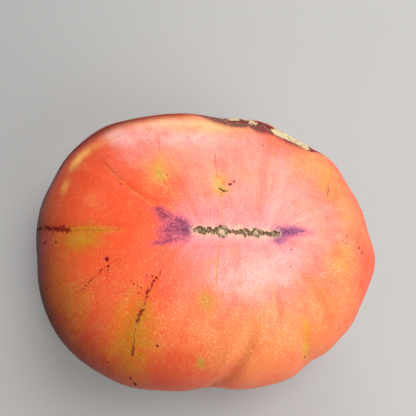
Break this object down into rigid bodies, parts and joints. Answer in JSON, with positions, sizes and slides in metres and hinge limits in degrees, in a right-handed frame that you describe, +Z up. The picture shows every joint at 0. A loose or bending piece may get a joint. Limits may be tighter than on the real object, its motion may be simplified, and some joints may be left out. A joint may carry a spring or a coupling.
{
  "type": "tomato",
  "caption": "Large ribbed beefsteak tomato, as picked, resting on its stem end, with a long corky blossom scar on top, creased shoulders and a healed split at the back.",
  "frame": {"origin": "middle of the fruit's outline, at the height of the surface it rests on", "axes": "+X along the fruit's width and its blossom scar, to the right in the picture; +Y away from the camera; +Z up, from the stem end to the blossom end"},
  "size_m": [0.1198, 0.1004, 0.0656],
  "materials": {
    "tomato_skin": "waxy satin fruit skin",
    "scar_cork": "dry rough cork of the scars and the healed split"
  },
  "bodies": {
    "root": {"tomato": "tomato_skin"}
  },
  "joints": []
}
